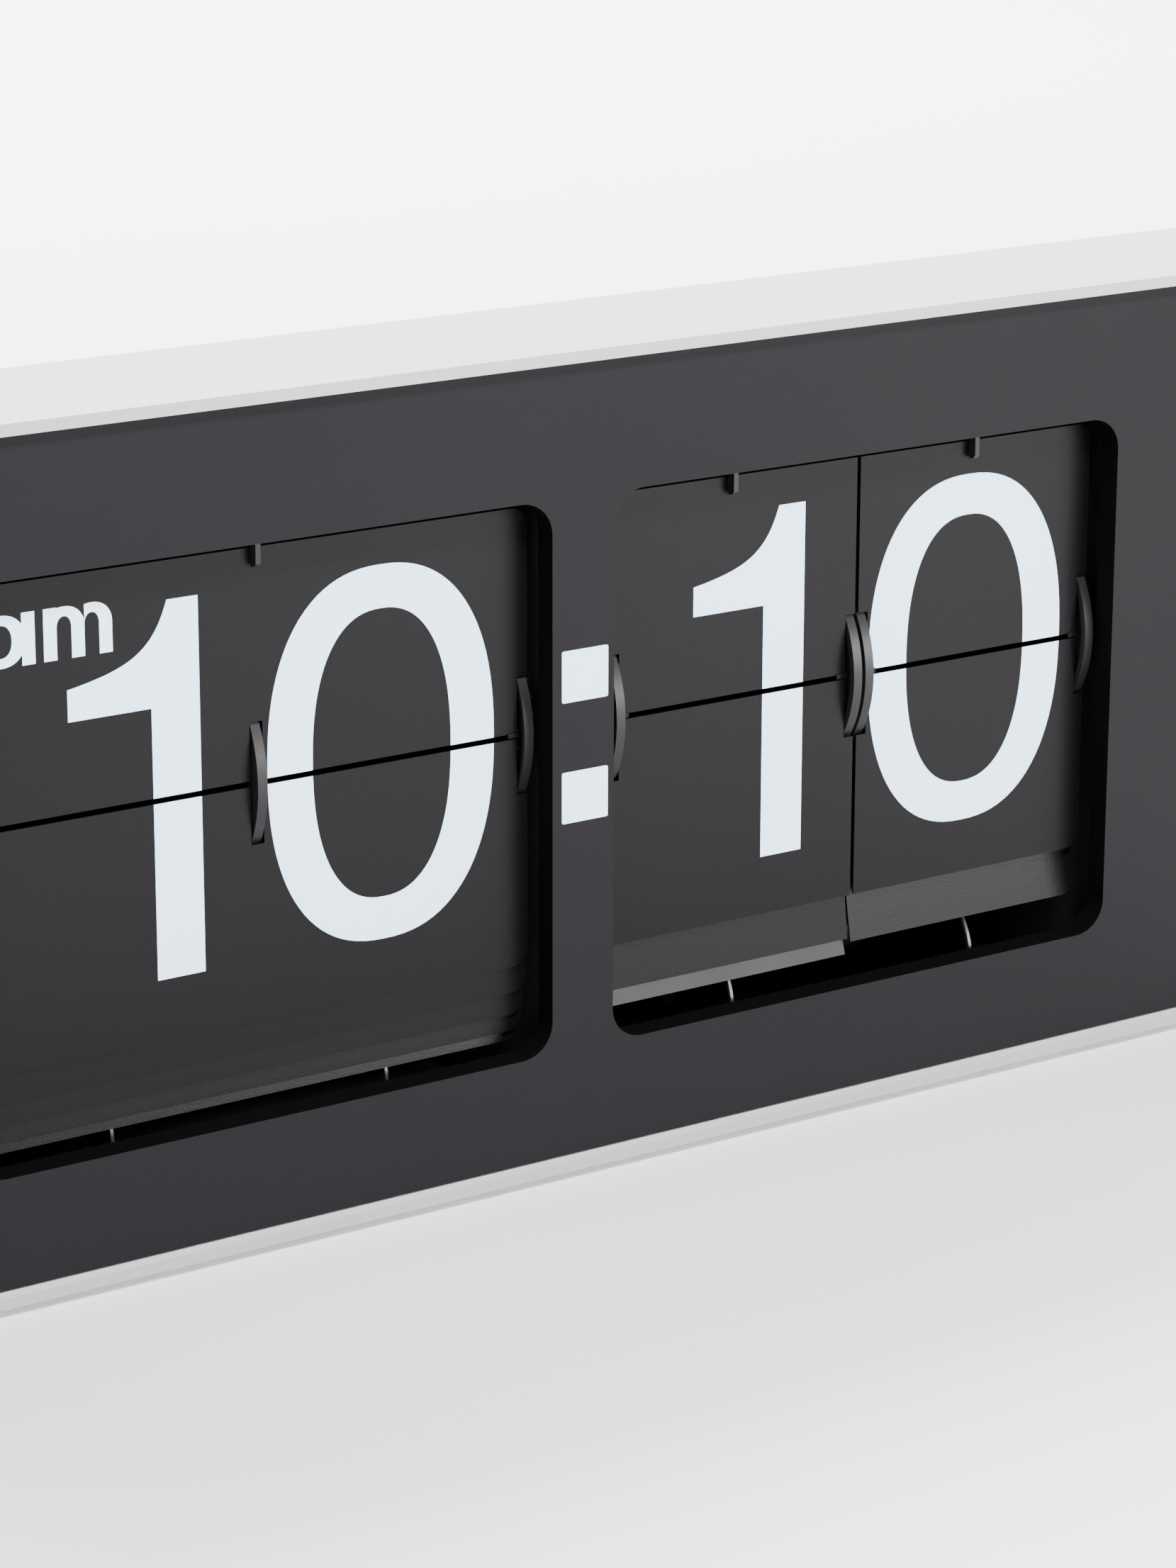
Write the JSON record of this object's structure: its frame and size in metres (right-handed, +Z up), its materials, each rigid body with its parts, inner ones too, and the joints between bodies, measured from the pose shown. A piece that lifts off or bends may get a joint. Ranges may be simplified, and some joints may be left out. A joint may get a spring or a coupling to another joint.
{
  "type": "flip number clock",
  "caption": "Boxed flip number clock: shallow metal sleeve, black front panel with two rounded windows, hour and minute leaf drums, gear train and battery drive.",
  "frame": {"origin": "centre of the footprint, at the underside of the feet", "axes": "+Z up, the windows face -Y, +X to the viewer's right"},
  "size_m": [0.36, 0.085, 0.16],
  "materials": {
    "sleeve_metal": "fine brushed satin",
    "panel_black": "matt black",
    "mark_white": "printed white",
    "housing_black": "fine grained matt",
    "rubber_feet": "matt",
    "steel": "plain",
    "guide_steel": "dark",
    "frame_black": "matt black",
    "dark_plastic": "satin",
    "leaf": "fine grained matt",
    "gear_plastic": "moulded",
    "brass": "plain",
    "board_green": "lacquered",
    "battery_sleeve": "plain wrap"
  },
  "bodies": {
    "clock_frame": {"case_sleeve": "sleeve_metal", "front_panel": "panel_black", "colon_marks": "mark_white", "rear_housing": "housing_black", "housing_screws": "steel", "front_feet": "rubber_feet", "rear_feet": "rubber_feet", "left_frame_plate": "frame_black", "centre_frame_plate": "frame_black", "right_frame_plate": "frame_black", "tie_bars": "frame_black", "frame_screws": "steel", "main_axle": "steel", "axle_clips": "steel", "catch_bar": "frame_black", "catch_fingers": "dark_plastic", "guide_bar": "dark_plastic", "guide_fingers": "guide_steel", "hour_lower_leaves": "leaf", "hour_upper_leaves": "leaf", "hour_next_leaf": "leaf", "tens_lower_leaves": "leaf", "tens_upper_leaves": "leaf", "tens_next_leaf": "leaf", "units_lower_leaves": "leaf", "units_upper_leaves": "leaf", "units_next_leaf": "leaf", "motor_case": "steel", "circuit_board": "board_green", "quartz_crystal": "steel", "battery": "battery_sleeve", "battery_spring": "steel", "battery_contact": "steel", "gear_arbors": "steel"},
    "hour_drum": {"hour_discs": "dark_plastic", "hour_spool": "dark_plastic", "hour_gear": "dark_plastic"},
    "tens_drum": {"tens_discs": "dark_plastic", "tens_spool": "dark_plastic", "tens_gear": "dark_plastic", "tens_pinion": "gear_plastic"},
    "units_drum": {"units_discs": "dark_plastic", "units_sleeve": "dark_plastic", "units_pinion": "gear_plastic", "units_gear": "dark_plastic"},
    "tens_carry": {"tens_carry_gear": "gear_plastic"},
    "hour_carry": {"hour_carry_gear": "gear_plastic"},
    "reduction": {"reduction_gear": "gear_plastic"},
    "motor_rotor": {"motor_pinion": "brass"},
    "setting_knob": {"setting_wheel": "housing_black"},
    "battery_hatch": {"battery_door": "housing_black"},
    "hour_leaf": {"hour_falling_leaf": "leaf"},
    "tens_leaf": {"tens_falling_leaf": "leaf"},
    "units_leaf": {"units_falling_leaf": "leaf"}
  },
  "joints": [
    {"name": "units_turn", "type": "hinge", "parent": "clock_frame", "child": "units_drum", "pos_m": [0, -0.01335, 0.0863], "axis": [1, 0, 0], "continuous": true},
    {"name": "tens_turn", "type": "hinge", "parent": "clock_frame", "child": "tens_drum", "pos_m": [0, -0.01335, 0.0863], "axis": [1, 0, 0], "continuous": true},
    {"name": "hour_turn", "type": "hinge", "parent": "clock_frame", "child": "hour_drum", "pos_m": [0, -0.01335, 0.0863], "axis": [1, 0, 0], "continuous": true},
    {"name": "tens_carry_turn", "type": "hinge", "parent": "clock_frame", "child": "tens_carry", "pos_m": [0, 0.01065, 0.0863], "axis": [1, 0, 0], "continuous": true},
    {"name": "hour_carry_turn", "type": "hinge", "parent": "clock_frame", "child": "hour_carry", "pos_m": [0, -0.01335, 0.0623], "axis": [1, 0, 0], "continuous": true},
    {"name": "reduction_turn", "type": "hinge", "parent": "clock_frame", "child": "reduction", "pos_m": [0, 0.01065, 0.0863], "axis": [1, 0, 0], "continuous": true},
    {"name": "motor_turn", "type": "hinge", "parent": "clock_frame", "child": "motor_rotor", "pos_m": [0, 0.01065, 0.0623], "axis": [1, 0, 0], "continuous": true},
    {"name": "setting_turn", "type": "hinge", "parent": "clock_frame", "child": "setting_knob", "pos_m": [0, 0.03385, 0.0863], "axis": [1, 0, 0], "continuous": true},
    {"name": "hour_leaf_fall", "type": "hinge", "parent": "clock_frame", "child": "hour_leaf", "pos_m": [0, -0.03295, 0.0863], "axis": [1, 0, 0], "range_deg": [0, 180]},
    {"name": "tens_leaf_fall", "type": "hinge", "parent": "clock_frame", "child": "tens_leaf", "pos_m": [0, -0.03295, 0.0863], "axis": [1, 0, 0], "range_deg": [0, 180]},
    {"name": "units_leaf_fall", "type": "hinge", "parent": "clock_frame", "child": "units_leaf", "pos_m": [0, -0.03295, 0.0863], "axis": [1, 0, 0], "range_deg": [0, 180]},
    {"name": "battery_door_swing", "type": "hinge", "parent": "clock_frame", "child": "battery_hatch", "pos_m": [0, 0.0392, 0.0092], "axis": [-1, 0, 0], "range_deg": [0, 95]}
  ],
  "couplings": [
    {"joint": "tens_turn", "follows": "units_turn", "ratio": 0.083333},
    {"joint": "hour_turn", "follows": "units_turn", "ratio": 0.0069444},
    {"joint": "tens_carry_turn", "follows": "units_turn", "ratio": -0.25},
    {"joint": "hour_carry_turn", "follows": "units_turn", "ratio": -0.020833},
    {"joint": "reduction_turn", "follows": "units_turn", "ratio": -3},
    {"joint": "motor_turn", "follows": "units_turn", "ratio": 12},
    {"joint": "setting_turn", "follows": "units_turn", "ratio": 14.4}
  ]
}
